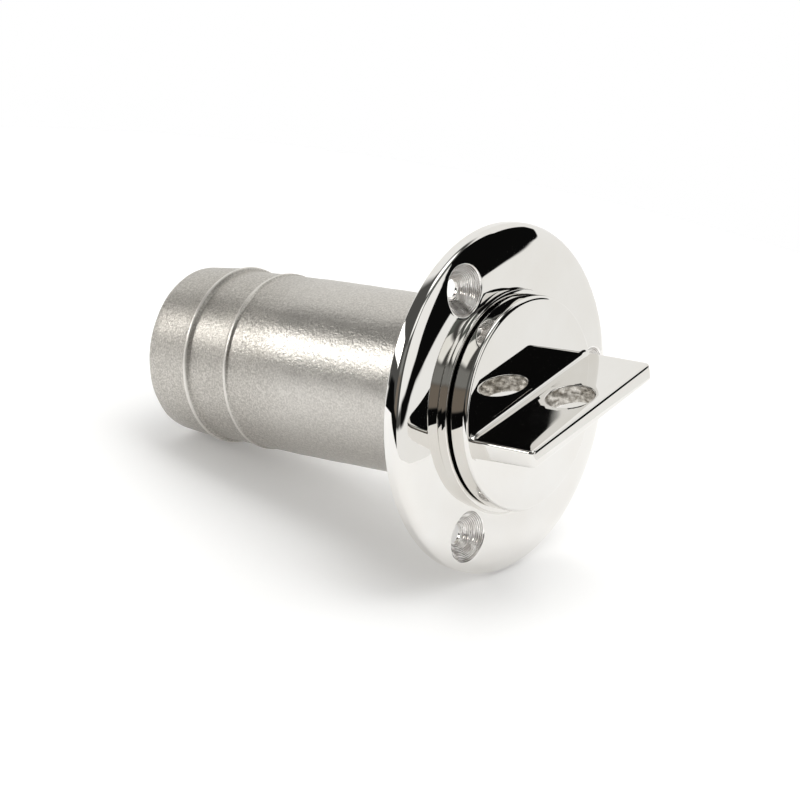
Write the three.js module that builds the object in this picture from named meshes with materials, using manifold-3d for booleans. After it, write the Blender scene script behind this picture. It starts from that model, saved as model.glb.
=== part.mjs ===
// Deck fill cap: a flanged filler with a hose tail, closed by a screw cap with a fin handle.
// Millimetres. +Z points out of the deck along the filler's axis, and z = 0 is the flange's underside.

import * as THREE from 'three';
import Module from 'manifold-3d';
import { mergeVertices } from 'three/addons/utils/BufferGeometryUtils.js';

const wasm = await Module();
wasm.setup();

// Flange and collar
const FLANGE_RADIUS = 47.5;
const RIM_HEIGHT = 2.45;
const RIM_ROUND = 1.8;
const SHOULDER_ROUND = 10;
const CROWN_RADIUS = 34.3;
const CROWN_TOP = 5.63;
const CROWN_CURVE = 66;
const COLLAR_RADIUS = 30.1;
const COLLAR_FILLET = 0.6;
const COLLAR_TOP = 6.8;
const SCREW_CIRCLE_RADIUS = 38.4;
const SCREW_HOLE_RADIUS = 2.75;
const COUNTERSINK_RADIUS = 7.2;
const COUNTERSINK_TOP = 5.5;
const SCREW_ANGLES = [90, 210, 330];

// Neck with its hose barbs, measured downwards from the flange's underside
const NECK_LENGTH = 104.6;
const NECK_RADIUS = 25;
const NECK_END_RADIUS = 23.6;
const NECK_BORE_RADIUS = 21;
const END_ROUND = 1;
const BARBS = [
  { depth: 89, crest: 25.4, before: 24.95, after: 24.3 },
  { depth: 74.3, crest: 25.2, before: 24.75, after: 24.7 },
];

// Throat under the thread, which the toggle bar can't pass
const THROAT_RADIUS = 18.2;
const THROAT_SHOULDER = -6.4;
const THROAT_TOP = -8.7;
const THROAT_BOTTOM = -11.5;

// Right-hand screw thread
const PITCH = 4;
const MALE_CORE_RADIUS = 20.9;
const MALE_CREST_RADIUS = 22.3;
const FEMALE_ROOT_RADIUS = 22.65;
const FEMALE_CREST_RADIUS = 21.25;
const THREAD_FOOT_WIDTH = 2;
const THREAD_CREST_WIDTH = 1;
const THREAD_EMBED = 0.4;
const MALE_THREAD_START = -3.5;
const MALE_TURNS = 2.25;
const FEMALE_TURNS = 2.6;
const STEPS_PER_TURN = 40;

// Cap
const CAP_RADIUS = 29;
const CAP_UNDERSIDE = 7.6;
const CAP_FACE = 12.6;
const CAP_ROUND = 1.1;
const SPIGOT_BOTTOM = -5;
const SPIGOT_BORE_RADIUS = 17.6;
const SPIGOT_ROOF = 8;
const BOSS_RADIUS = 4;
const BOSS_BOTTOM = 1;
const SEAL_RADIUS = 25.6;
const SEAL_GROOVE_WIDTH = 3.2;
const SEAL_GROOVE_DEPTH = 1.8;
const SEAL_WIDTH = 2.6;
const SEAL_HEIGHT = 2;

// Fin handle
const FIN_ANGLE = 103.2;
const FIN_HALF_LENGTH = 28;
const FIN_THICKNESS = 5.3;
const FIN_TOP = 32.8;
const FIN_CORNER = 1.5;
const FIN_FOOT = 2;
const FIN_HOLE_RADIUS = 6.65;
const FIN_HOLE_OFFSET = 2.8;
const FIN_HOLE_HEIGHT = 23.5;

// Retaining chain
const SHEET = 1.2;
const RIVET_RADIUS = 1.7;
const RIVET_HEAD_RADIUS = 3.2;
const BEAD_RADIUS = 2.4;
const BEAD_WALL = 0.35;
const BEAD_HOLE_RADIUS = 0.8;
const BEAD_PITCH = 5.6;
const BEAD_COUNT = 10;
const PIN_BALL_RADIUS = 0.9;
const PIN_SHANK_RADIUS = 0.45;
const PIN_LENGTH = 3.6;
const TAG_TOP = -0.4;
const TAG_HEIGHT = 7.2;
const TAG_REACH = 6.6;
const CLEVIS_GAP = 5;
const CLEVIS_WIDTH = 5;
const CLEVIS_HEIGHT = 12.5;
const BAR_HALF_LENGTH = 19.6;
const BAR_RADIUS = 2;
const BAR_DROP = 8.5;
const BAR_PIN_RADIUS = 1;
const CHAIN_CLEARANCE = 0.3;

const ROUND_STEPS = 60;
const SMALL_STEPS = 16;

const polished = { color: 0xe6e5e2, roughness: 0.06, metalness: 1 };
const blasted = { color: 0xbab5ae, roughness: 0.45, metalness: 1 };
const wireSteel = { color: 0xc9c9c6, roughness: 0.25, metalness: 1 };
const rubber = { color: 0x121212, roughness: 0.7, metalness: 0 };

function solidOf(geometry) {
  const bare = geometry.clone();
  bare.deleteAttribute('normal');
  bare.deleteAttribute('uv');
  const merged = mergeVertices(bare, 1e-4);
  const corners = merged.index.array;
  const kept = [];
  for (let i = 0; i < corners.length; i += 3) {
    const [a, b, c] = corners.slice(i, i + 3);
    if (a !== b && b !== c && c !== a) kept.push(a, b, c);
  }
  const mesh = new wasm.Mesh({
    numProp: 3,
    vertProperties: new Float32Array(merged.attributes.position.array),
    triVerts: new Uint32Array(kept),
  });
  return new wasm.Manifold(mesh);
}

function geometryOf(solid) {
  const mesh = solid.getMesh();
  const geometry = new THREE.BufferGeometry();
  geometry.setAttribute('position', new THREE.BufferAttribute(mesh.vertProperties, 3));
  geometry.setIndex(new THREE.BufferAttribute(mesh.triVerts, 1));
  geometry.computeVertexNormals();
  return geometry;
}

function piece(name, solid, look) {
  const mesh = new THREE.Mesh(geometryOf(solid), new THREE.MeshStandardMaterial(look));
  mesh.name = name;
  return mesh;
}

// Points of an arc in a profile, from one angle to the other in degrees
function arc(centreX, centreY, radius, from, to, steps) {
  const points = [];
  for (let i = 0; i <= steps; i += 1) {
    const angle = THREE.MathUtils.degToRad(from + ((to - from) * i) / steps);
    points.push([centreX + radius * Math.cos(angle), centreY + radius * Math.sin(angle)]);
  }
  return points;
}

// Solid of revolution about Z, from [radius, height] points taken anticlockwise
function turned(points, steps) {
  const profile = points.map(([radius, height]) => new THREE.Vector2(Math.max(radius, 0), height));
  const geometry = new THREE.LatheGeometry(profile, steps);
  return solidOf(geometry.rotateX(Math.PI / 2));
}

function rod(radius, from, to, steps = SMALL_STEPS) {
  return turned([[0, from], [radius, from], [radius, to], [0, to]], steps);
}

// Flat plate: an outline extruded to both sides of its plane, which becomes the XZ plane
function upright(shape, thickness) {
  const options = { depth: thickness, bevelEnabled: false, curveSegments: 12 };
  const geometry = new THREE.ExtrudeGeometry(shape, options);
  geometry.translate(0, 0, -thickness / 2);
  return solidOf(geometry.rotateX(Math.PI / 2));
}

// Helix whose section keeps one side radial and the other along the thread's axis
class Helix extends THREE.Curve {
  constructor(radius, turns, startHeight) {
    super();
    this.radius = radius;
    this.turns = turns;
    this.startHeight = startHeight;
  }

  getPoint(t, target = new THREE.Vector3()) {
    const angle = 2 * Math.PI * this.turns * t;
    const height = this.startHeight + PITCH * this.turns * t;
    return target.set(this.radius * Math.cos(angle), this.radius * Math.sin(angle), height);
  }

  computeFrenetFrames(segments) {
    const frames = { tangents: [], normals: [], binormals: [] };
    for (let i = 0; i <= segments; i += 1) {
      const angle = (2 * Math.PI * this.turns * i) / segments;
      frames.tangents.push(new THREE.Vector3(-Math.sin(angle), Math.cos(angle), 0));
      frames.normals.push(new THREE.Vector3(Math.cos(angle), Math.sin(angle), 0));
      frames.binormals.push(new THREE.Vector3(0, 0, -1));
    }
    return frames;
  }
}

// Thread ridge standing on a cylinder of the foot radius and narrowing to the crest radius
function threadRidge(footRadius, crestRadius, turns, startHeight) {
  const rise = crestRadius - footRadius;
  const embed = -Math.sign(rise) * THREAD_EMBED;
  const foot = THREAD_FOOT_WIDTH / 2;
  const crest = THREAD_CREST_WIDTH / 2;
  const section = new THREE.Shape([
    new THREE.Vector2(embed, -foot),
    new THREE.Vector2(rise, -crest),
    new THREE.Vector2(rise, crest),
    new THREE.Vector2(embed, foot),
  ]);
  const path = new Helix(footRadius, turns, startHeight);
  const steps = Math.round(turns * STEPS_PER_TURN);
  return solidOf(new THREE.ExtrudeGeometry(section, { steps, extrudePath: path }));
}

// Outside of the neck, from its open end up to the flange
function neckOutline() {
  const bottom = -NECK_LENGTH;
  const points = arc(NECK_END_RADIUS - END_ROUND, bottom + END_ROUND, END_ROUND, -90, 0, 3);
  for (const { depth, crest, before, after } of BARBS) {
    points.push([before, -depth - 1], [crest, -depth - 0.5], [crest, -depth + 0.2], [after, -depth + 0.9]);
  }
  points.push([NECK_RADIUS, -60], [NECK_RADIUS, -2]);
  return points.concat(arc(NECK_RADIUS + 2, -2, 2, 180, 90, 3));
}

// Flange rim, crowned face, collar and mouth
function frontOutline() {
  const rimTop = 64;
  const shoulderBottom = 70;
  const shoulderTop = 82;
  const crownBottom = 85;
  const crownTop = 92;
  const crownCentre = CROWN_TOP - CROWN_CURVE;
  const foot = crownCentre + Math.sqrt(CROWN_CURVE ** 2 - (CROWN_RADIUS - COLLAR_RADIUS) ** 2);
  const shoulderDistance = CROWN_CURVE - SHOULDER_ROUND;
  const shoulderTurn = THREE.MathUtils.degToRad(shoulderTop);
  const shoulderRadius = CROWN_RADIUS + shoulderDistance * Math.cos(shoulderTurn);
  const shoulderHeight = crownCentre + shoulderDistance * Math.sin(shoulderTurn);
  return [
    [FLANGE_RADIUS - 0.5, 0],
    [FLANGE_RADIUS, 0.5],
    ...arc(FLANGE_RADIUS - RIM_ROUND, RIM_HEIGHT, RIM_ROUND, 0, rimTop, 4),
    ...arc(shoulderRadius, shoulderHeight, SHOULDER_ROUND, shoulderBottom, shoulderTop, 2),
    ...arc(CROWN_RADIUS, crownCentre, CROWN_CURVE, crownBottom, crownTop, 2),
    [COLLAR_RADIUS + COLLAR_FILLET / 4, foot + COLLAR_FILLET / 4],
    [COLLAR_RADIUS, foot + COLLAR_FILLET],
    [COLLAR_RADIUS, COLLAR_TOP - 0.4],
    [COLLAR_RADIUS - 0.4, COLLAR_TOP],
    [FEMALE_ROOT_RADIUS + 0.75, COLLAR_TOP],
    [FEMALE_ROOT_RADIUS, COLLAR_TOP - 0.75],
  ];
}

function countersunkHole(angleDegrees) {
  const flare = COUNTERSINK_RADIUS - SCREW_HOLE_RADIUS;
  const hole = turned([
    [0, -1],
    [SCREW_HOLE_RADIUS, -1],
    [SCREW_HOLE_RADIUS, COUNTERSINK_TOP - flare],
    [COUNTERSINK_RADIUS, COUNTERSINK_TOP],
    [COUNTERSINK_RADIUS + 2, COUNTERSINK_TOP + 2],
    [0, COUNTERSINK_TOP + 2],
  ], 24);
  const angle = THREE.MathUtils.degToRad(angleDegrees);
  return hole.translate([SCREW_CIRCLE_RADIUS * Math.cos(angle), SCREW_CIRCLE_RADIUS * Math.sin(angle), 0]);
}

function fillerBody() {
  const inside = [
    [FEMALE_ROOT_RADIUS, THROAT_SHOULDER],
    [THROAT_RADIUS, THROAT_TOP],
    [THROAT_RADIUS, THROAT_BOTTOM],
    [NECK_BORE_RADIUS, THROAT_BOTTOM - NECK_BORE_RADIUS + THROAT_RADIUS],
    [NECK_BORE_RADIUS, -NECK_LENGTH],
  ];
  const outline = [...neckOutline(), ...frontOutline(), ...inside];
  let body = turned([...outline, outline[0]], ROUND_STEPS);
  for (const angle of SCREW_ANGLES) body = body.subtract(countersunkHole(angle));
  const ridgeStart = MALE_THREAD_START - PITCH / 2;
  return body.add(threadRidge(FEMALE_ROOT_RADIUS, FEMALE_CREST_RADIUS, FEMALE_TURNS, ridgeStart));
}

function finHandle() {
  const inner = FIN_HALF_LENGTH - FIN_CORNER;
  const outline = new THREE.Shape();
  outline.moveTo(-FIN_HALF_LENGTH, CAP_FACE - FIN_FOOT);
  outline.lineTo(FIN_HALF_LENGTH, CAP_FACE - FIN_FOOT);
  outline.lineTo(FIN_HALF_LENGTH, FIN_TOP - FIN_CORNER);
  outline.absarc(inner, FIN_TOP - FIN_CORNER, FIN_CORNER, 0, Math.PI / 2);
  outline.absarc(-inner, FIN_TOP - FIN_CORNER, FIN_CORNER, Math.PI / 2, Math.PI);
  outline.closePath();
  const hole = new THREE.Path();
  hole.absarc(FIN_HOLE_OFFSET, FIN_HOLE_HEIGHT, FIN_HOLE_RADIUS, 0, 2 * Math.PI);
  outline.holes.push(hole);
  return upright(outline, FIN_THICKNESS).rotate([0, 0, FIN_ANGLE]);
}

function cap() {
  const grooveInner = SEAL_RADIUS - SEAL_GROOVE_WIDTH / 2;
  const grooveOuter = SEAL_RADIUS + SEAL_GROOVE_WIDTH / 2;
  const grooveRoof = CAP_UNDERSIDE + SEAL_GROOVE_DEPTH;
  const disc = turned([
    [0, BOSS_BOTTOM],
    [BOSS_RADIUS, BOSS_BOTTOM],
    [BOSS_RADIUS, SPIGOT_ROOF],
    [SPIGOT_BORE_RADIUS, SPIGOT_ROOF],
    [SPIGOT_BORE_RADIUS, SPIGOT_BOTTOM],
    [MALE_CORE_RADIUS - 0.6, SPIGOT_BOTTOM],
    [MALE_CORE_RADIUS, SPIGOT_BOTTOM + 0.6],
    [MALE_CORE_RADIUS, CAP_UNDERSIDE],
    [grooveInner, CAP_UNDERSIDE],
    [grooveInner, grooveRoof],
    [grooveOuter, grooveRoof],
    [grooveOuter, CAP_UNDERSIDE],
    [CAP_RADIUS - 0.4, CAP_UNDERSIDE],
    [CAP_RADIUS, CAP_UNDERSIDE + 0.4],
    ...arc(CAP_RADIUS - CAP_ROUND, CAP_FACE - CAP_ROUND, CAP_ROUND, 0, 90, 4),
    [0, CAP_FACE],
  ], ROUND_STEPS);
  const rivetHole = rod(RIVET_RADIUS + CHAIN_CLEARANCE, BOSS_BOTTOM - 1, SPIGOT_ROOF);
  return disc
    .add(threadRidge(MALE_CORE_RADIUS, MALE_CREST_RADIUS, MALE_TURNS, MALE_THREAD_START))
    .add(finHandle())
    .subtract(rivetHole);
}

function sealRing() {
  const height = CAP_UNDERSIDE + SEAL_GROOVE_DEPTH - CHAIN_CLEARANCE - SEAL_HEIGHT / 2;
  const section = arc(0, 0, 1, 0, 360, 8);
  const points = section.map(([x, y]) => [SEAL_RADIUS + (x * SEAL_WIDTH) / 2, height + (y * SEAL_HEIGHT) / 2]);
  points[points.length - 1] = points[0];
  return turned(points, 48);
}

// Headed rivet that hangs the chain's tag from the cap's boss
function swivelRivet() {
  const headTop = TAG_TOP - SHEET - CHAIN_CLEARANCE;
  return turned([
    [0, headTop - 1.8],
    [RIVET_HEAD_RADIUS * 0.6, headTop - 1.5],
    [RIVET_HEAD_RADIUS, headTop - 0.6],
    [RIVET_HEAD_RADIUS, headTop],
    [RIVET_RADIUS, headTop],
    [RIVET_RADIUS, SPIGOT_ROOF - CHAIN_CLEARANCE],
    [0, SPIGOT_ROOF - CHAIN_CLEARANCE],
  ], SMALL_STEPS);
}

function swivelWasher() {
  const bottom = TAG_TOP + CHAIN_CLEARANCE;
  const top = BOSS_BOTTOM - CHAIN_CLEARANCE;
  const inner = RIVET_RADIUS + CHAIN_CLEARANCE;
  const outer = BOSS_RADIUS - 0.2;
  return turned([[inner, bottom], [outer, bottom], [outer, top], [inner, top], [inner, bottom]], SMALL_STEPS);
}

// C-shaped strip: its upper leg turns on the rivet and its lower leg holds the first pin
function swivelTag() {
  const reach = 4;
  const bottom = TAG_TOP - TAG_HEIGHT;
  const outline = new THREE.Shape([
    new THREE.Vector2(-TAG_REACH, bottom),
    new THREE.Vector2(reach, bottom),
    new THREE.Vector2(reach, bottom + SHEET),
    new THREE.Vector2(-TAG_REACH + SHEET, bottom + SHEET),
    new THREE.Vector2(-TAG_REACH + SHEET, TAG_TOP - SHEET),
    new THREE.Vector2(reach, TAG_TOP - SHEET),
    new THREE.Vector2(reach, TAG_TOP),
    new THREE.Vector2(-TAG_REACH, TAG_TOP),
  ]);
  return upright(outline, 7)
    .subtract(rod(RIVET_RADIUS + CHAIN_CLEARANCE, TAG_TOP - SHEET - 1, TAG_TOP + 1))
    .subtract(rod(BEAD_HOLE_RADIUS, bottom - 1, bottom + SHEET + 1));
}

// Hollow bead with a hole at its top and bottom
function bead(centre) {
  const inner = BEAD_RADIUS - BEAD_WALL;
  const outerEdge = THREE.MathUtils.radToDeg(Math.acos(BEAD_HOLE_RADIUS / BEAD_RADIUS));
  const innerEdge = THREE.MathUtils.radToDeg(Math.acos(BEAD_HOLE_RADIUS / inner));
  const shell = [
    ...arc(0, centre, BEAD_RADIUS, -outerEdge, outerEdge, 6),
    ...arc(0, centre, inner, innerEdge, -innerEdge, 4),
  ];
  return turned([...shell, shell[0]], 10);
}

// Double-headed pin hanging down from the centre of its upper ball
function chainPin(upperBall) {
  const neckAngle = THREE.MathUtils.radToDeg(Math.acos(PIN_SHANK_RADIUS / PIN_BALL_RADIUS));
  const lowerBall = upperBall - PIN_LENGTH;
  return turned([
    ...arc(0, lowerBall, PIN_BALL_RADIUS, -90, neckAngle, 3),
    ...arc(0, upperBall, PIN_BALL_RADIUS, -neckAngle, 90, 3),
  ], 8);
}

// Stirrup at the chain's lower end, whose two legs hold the toggle bar's pin
function barClevis(top) {
  const half = CLEVIS_GAP / 2;
  const outer = half + SHEET;
  const bottom = top - CLEVIS_HEIGHT;
  const outline = new THREE.Shape([
    new THREE.Vector2(-outer, bottom),
    new THREE.Vector2(-half, bottom),
    new THREE.Vector2(-half, top - SHEET),
    new THREE.Vector2(half, top - SHEET),
    new THREE.Vector2(half, bottom),
    new THREE.Vector2(outer, bottom),
    new THREE.Vector2(outer, top),
    new THREE.Vector2(-outer, top),
  ]);
  const pinHole = rod(BAR_PIN_RADIUS + CHAIN_CLEARANCE, -outer - 1, outer + 1);
  return upright(outline, CLEVIS_WIDTH)
    .subtract(rod(BEAD_HOLE_RADIUS, top - SHEET - 1, top + 1))
    .subtract(pinHole.rotate([0, 90, 0]).translate([0, 0, top - BAR_DROP]));
}

function barPin(height) {
  const shoulder = CLEVIS_GAP / 2 + SHEET + CHAIN_CLEARANCE;
  const end = shoulder + 0.8;
  const headRadius = 1.8;
  const pin = turned([
    [0, -end],
    [headRadius, -end],
    [headRadius, -shoulder],
    [BAR_PIN_RADIUS, -shoulder],
    [BAR_PIN_RADIUS, shoulder],
    [headRadius, shoulder],
    [headRadius, end],
    [0, end],
  ], SMALL_STEPS);
  return pin.rotate([0, 90, 0]).translate([0, 0, height]);
}

// Bar along Y that is longer than the throat is wide
function toggleBar(height) {
  const straight = BAR_HALF_LENGTH - BAR_RADIUS;
  const bar = turned([
    ...arc(0, -straight, BAR_RADIUS, -90, 0, 3),
    ...arc(0, straight, BAR_RADIUS, 0, 90, 3),
  ], SMALL_STEPS);
  const pinHole = rod(BAR_PIN_RADIUS + CHAIN_CLEARANCE, -BAR_RADIUS - 1, BAR_RADIUS + 1);
  return bar
    .rotate([90, 0, 0])
    .subtract(pinHole.rotate([0, 90, 0]))
    .translate([0, 0, height]);
}

// The chain hangs from the tag's lower leg: pins and beads in turn, then the clevis and the bar
function retainingChain() {
  const chain = new THREE.Group();
  const ballSeat = 0.65;
  const ballFromBeadCentre = (BEAD_PITCH - PIN_LENGTH) / 2;
  let upperBall = TAG_TOP - TAG_HEIGHT + SHEET + ballSeat;
  for (let i = 1; i <= BEAD_COUNT; i += 1) {
    const number = String(i).padStart(2, '0');
    const centre = upperBall - PIN_LENGTH - ballFromBeadCentre;
    chain.add(piece(`chain_pin_${number}`, chainPin(upperBall), wireSteel));
    chain.add(piece(`chain_bead_${number}`, bead(centre), wireSteel));
    upperBall = centre - ballFromBeadCentre;
  }
  const clevisTop = upperBall - PIN_LENGTH + ballSeat + SHEET;
  const barHeight = clevisTop - BAR_DROP;
  chain.add(piece(`chain_pin_${BEAD_COUNT + 1}`, chainPin(upperBall), wireSteel));
  chain.add(piece('bar_clevis', barClevis(clevisTop), wireSteel));
  chain.add(piece('bar_pin', barPin(barHeight), wireSteel));
  chain.add(piece('toggle_bar', toggleBar(barHeight), wireSteel));
  return chain;
}

const deckFill = new THREE.Group();
deckFill.add(piece('filler_body', fillerBody(), blasted));
deckFill.add(piece('cap', cap(), polished));
deckFill.add(piece('cap_seal_ring', sealRing(), rubber));
deckFill.add(piece('swivel_rivet', swivelRivet(), wireSteel));
deckFill.add(piece('swivel_washer', swivelWasher(), wireSteel));
deckFill.add(piece('swivel_tag', swivelTag(), wireSteel));
deckFill.add(retainingChain());

export default deckFill;
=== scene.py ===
"""Deck fill cap lying on its side: mirror-polished flange and cap on a bead-blasted hose neck.

Shapes are in millimetres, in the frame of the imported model, whose Z is height above the deck.
Each mesh is scaled to metres. Angles are in degrees unless a call wants radians.
"""

import math

import bmesh
import bpy
from mathutils import Matrix, Vector, noise
from mathutils.geometry import delaunay_2d_cdt


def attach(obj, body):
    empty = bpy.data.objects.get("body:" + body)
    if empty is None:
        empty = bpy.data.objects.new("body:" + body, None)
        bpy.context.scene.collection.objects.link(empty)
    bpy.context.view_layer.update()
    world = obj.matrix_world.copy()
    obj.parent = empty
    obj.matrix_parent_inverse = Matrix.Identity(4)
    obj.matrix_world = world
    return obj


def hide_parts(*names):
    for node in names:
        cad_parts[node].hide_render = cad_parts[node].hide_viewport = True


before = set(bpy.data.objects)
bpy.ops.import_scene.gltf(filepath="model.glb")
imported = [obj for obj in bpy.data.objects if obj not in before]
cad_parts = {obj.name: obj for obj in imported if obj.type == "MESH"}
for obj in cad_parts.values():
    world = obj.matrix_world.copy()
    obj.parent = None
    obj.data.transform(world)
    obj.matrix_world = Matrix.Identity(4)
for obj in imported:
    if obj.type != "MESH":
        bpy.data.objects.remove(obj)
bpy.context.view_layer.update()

MM = 0.001
FINE = 192  # steps round the large turned shapes
HOLE_STEPS = 72  # steps round a screw hole and the fin's hole
MERGE = 0.0006  # vertices closer than this become one
LONGEST_BAND = 2.5  # longest stretch along the outline of a large turned shape
NEAR = 0.01  # places closer than this count as the same
CDT_GAP = 1e-7  # the same for the points of a triangulation

# Indices of the materials of one piece
POLISHED = 0
BLASTED = 1
MACHINED = 2
CAST = 1

# Flange and collar
FLANGE_RADIUS = 47.5
RIM_ROUND = 1.8
SHOULDER_ROUND = 10.0
SHOULDER_TOP = 82.0  # slope of the spoke on which the shoulder's arc meets the crown's
CROWN_RADIUS = 34.3
CROWN_TOP = 5.63
CROWN_CURVE = 66.0
FACE_INNER = 30.8  # radii of the part of the face that has the screw holes in it
FACE_OUTER = 46.1
COLLAR_RADIUS = 30.1
COLLAR_FOOT = 5.45
COLLAR_TOP = 6.8
MOUTH_CHAMFER = 0.75
SCREW_CIRCLE_RADIUS = 38.4
SCREW_HOLE_RADIUS = 2.75
COUNTERSINK_RADIUS = 7.2
COUNTERSINK_LIP = 0.35
COUNTERSINK_ROWS = 40
TOOL_GROOVE = 0.035
TOOL_TURNS = 9  # of the cutter's spiral mark down the cone
SCREW_ANGLES = (90, 210, 330)

# Neck, throat and thread
NECK_LENGTH = 104.6
NECK_RADIUS = 25.0
NECK_FOOT_RADIUS = 28.0
NECK_END_RADIUS = 23.6
NECK_BORE_RADIUS = 21.0
# Depth, crest radius, and the radii just below and above each barb
BARBS = ((89.0, 25.4, 24.95, 24.3), (74.3, 25.2, 24.75, 24.7))
BORE_TOP = -14.3
THROAT_RADIUS = 18.2
THROAT_TOP = -8.7
THROAT_BOTTOM = -11.5
PITCH = 4.0
THREAD_STEPS = 72  # per turn
THREAD_EMBED = 0.4  # how far a ridge's foot is sunk into the wall
MALE_THREAD_TURNS = 2.25
FEMALE_THREAD_TURNS = 2.6
FEMALE_THREAD_BOTTOM = -6.4
MALE_CORE_RADIUS = 20.9
MALE_CREST_RADIUS = 22.3
FEMALE_ROOT_RADIUS = 22.65
FEMALE_CREST_RADIUS = 21.25
MALE_THREAD_START = -3.5

# Cap and fin
CAP_RADIUS = 29.0
CAP_UNDERSIDE = 7.6
CAP_FACE = 12.6
CAP_ROUND = 1.1
SPIGOT_BORE_RADIUS = 17.6
SPIGOT_ROOF = 8.0
SPIGOT_BOTTOM = -5.0
BOSS_RADIUS = 4.0
BOSS_BOTTOM = 1.0
RIVET_HOLE_RADIUS = 2.0
SEAL_RADIUS = 25.6
SEAL_HALF_WIDTH = 1.3
SEAL_HALF_HEIGHT = 1.0
GROOVE_HALF_WIDTH = 1.6
GROOVE_DEPTH = 1.8
FIN_ANGLE = 103.2
FIN_HALF_LENGTH = 28.0
FIN_HALF_THICKNESS = 2.65
FIN_BASE = CAP_FACE - 1.6
FIN_TOP = 32.8
FIN_CORNER = 1.5
FIN_EDGE = 0.7
FIN_HOLE_EDGE = 0.3
FIN_EDGE_STEPS = 4
FIN_BASE_STEPS = 58
FIN_COLUMNS = 50
FIN_FILLET = 1.6
FIN_FILLET_FADE = 2.5  # length over which the fillet grows from the fin's end
FIN_DRAFT = 0.02  # lean of each side, per millimetre of height
FIN_ROLL = 0.12  # how far the sides are buffed down at their borders
FIN_ROLL_WIDTH = 3.5
FIN_HOLE_RADIUS = 6.65
FIN_HOLE_OFFSET = 2.8  # along the fin, from its middle
FIN_HOLE_HEIGHT = 23.5

# Chain
SHEET = 1.2
TAG_TOP = -0.4  # the swivel tag is a strip bent to a U that lies on its side
TAG_HEIGHT = 7.2
TAG_REACH = 6.6
TAG_END = 4.0
TAG_WIDTH = 7.0
TAG_BEND = 1.4
TAG_CORNER = 2.2
RIVET_RADIUS = 1.7
RIVET_TOP = 7.7
RIVET_HEAD_RADIUS = 3.2
RIVET_HEAD_HEIGHT = 1.8
WASHER_RADII = (2.0, 3.8)
WASHER_HEIGHTS = (-0.1, 0.7)
PIN_HOLE_RADIUS = 0.8
PLATE_EDGE = 0.18
INNER_BEND = 0.4
BEAD_RADIUS = 2.4
BEAD_PITCH = 5.6
BEAD_COUNT = 10
BEAD_WALL = 0.35
BEAD_SEAM = 0.06
PIN_LENGTH = 3.6
PIN_BALL = 0.9
PIN_SHANK = 0.45
PIN_SEAT = 0.65
CLEVIS_GAP = 5.0
CLEVIS_WIDTH = 5.0
CLEVIS_HEIGHT = 12.5
CLEVIS_BEND = 1.3
CLEVIS_CORNER = 2.0
BAR_PIN_RADIUS = 1.0
BAR_PIN_HEAD_RADIUS = 1.8
BAR_HOLE_RADIUS = 1.3
BAR_HOLE_EDGE = 0.12
BAR_HALF_LENGTH = 19.6
BAR_RADIUS = 2.0
BAR_DROP = 8.5  # from the top of the clevis to the bar


# ---------------------------------------------------------------- mesh helpers


def arc(centre_x, centre_y, radius, start, end, steps):
    """Points on a circle from the start angle to the end angle, both included."""
    points = []
    for i in range(steps + 1):
        angle = math.radians(start + (end - start) * i / steps)
        points.append((centre_x + radius * math.cos(angle), centre_y + radius * math.sin(angle)))
    return points


def rounded(corners, steps=4):
    """Open line through (x, y, fillet radius) corners, with every inner corner filleted."""
    points = []
    last = len(corners) - 1
    for i, (x, y, fillet) in enumerate(corners):
        if fillet == 0 or i in (0, last):
            points.append((x, y))
            continue
        here = Vector((x, y))
        before = (Vector(corners[i - 1][:2]) - here).normalized()
        after = (Vector(corners[i + 1][:2]) - here).normalized()
        half = before.angle(after) / 2
        centre = here + (before + after).normalized() * fillet / math.sin(half)
        start = here + before * fillet / math.tan(half) - centre
        end = here + after * fillet / math.tan(half) - centre
        sweep = start.angle(end)
        for k in range(steps + 1):
            t = k / steps
            spoke = start * math.sin((1 - t) * sweep) + end * math.sin(t * sweep)
            points.append(tuple(centre + spoke / math.sin(sweep)))
    return points


def split(points, longest):
    """The same line with extra points wherever a stretch is longer than that."""
    result = [points[0]]
    for start, end in zip(points, points[1:]):
        length = math.dist(start, end)
        pieces = max(1, math.ceil(length / longest))
        for k in range(1, pieces + 1):
            t = k / pieces
            result.append((start[0] + (end[0] - start[0]) * t, start[1] + (end[1] - start[1]) * t))
    return result


def circle(centre, radius, steps):
    return arc(*centre, radius, 0, 360, steps)[:-1]


def add_face(bm, corners, material=0):
    face = bm.faces.new(corners)
    face.smooth = True
    face.material_index = material


def bridge(bm, lower, upper, material=0, closed=True):
    """Faces between two rings of vertices; a ring of one vertex is a pole."""
    count = max(len(lower), len(upper))
    for i in range(count if closed else count - 1):
        j = (i + 1) % count
        pairs = ((lower, i), (lower, j), (upper, j), (upper, i))
        corners = list(dict.fromkeys(ring[k % len(ring)] for ring, k in pairs))
        if len(corners) > 2:
            add_face(bm, corners, material)


def revolve(bm, points, steps=FINE, material=0, closed=False):
    """Surface of revolution round Z. material is one index, or a function of a band's middle."""
    rings = []
    for radius, height in points:
        if radius < 1e-6:
            rings.append([bm.verts.new((0, 0, height))])
            continue
        rings.append([bm.verts.new((x, y, height)) for x, y in circle((0, 0), radius, steps)])
    pairs = list(zip(range(len(rings)), range(1, len(rings))))
    if closed:
        pairs.append((len(rings) - 1, 0))
    for a, b in pairs:
        index = material
        if callable(material):
            index = material((points[a][0] + points[b][0]) / 2, (points[a][1] + points[b][1]) / 2)
        bridge(bm, rings[a], rings[b], index)


def loop_of(points, first):
    """Edges of a closed loop whose points start at that index."""
    return [(first + i, first + (i + 1) % points) for i in range(points)]


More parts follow.
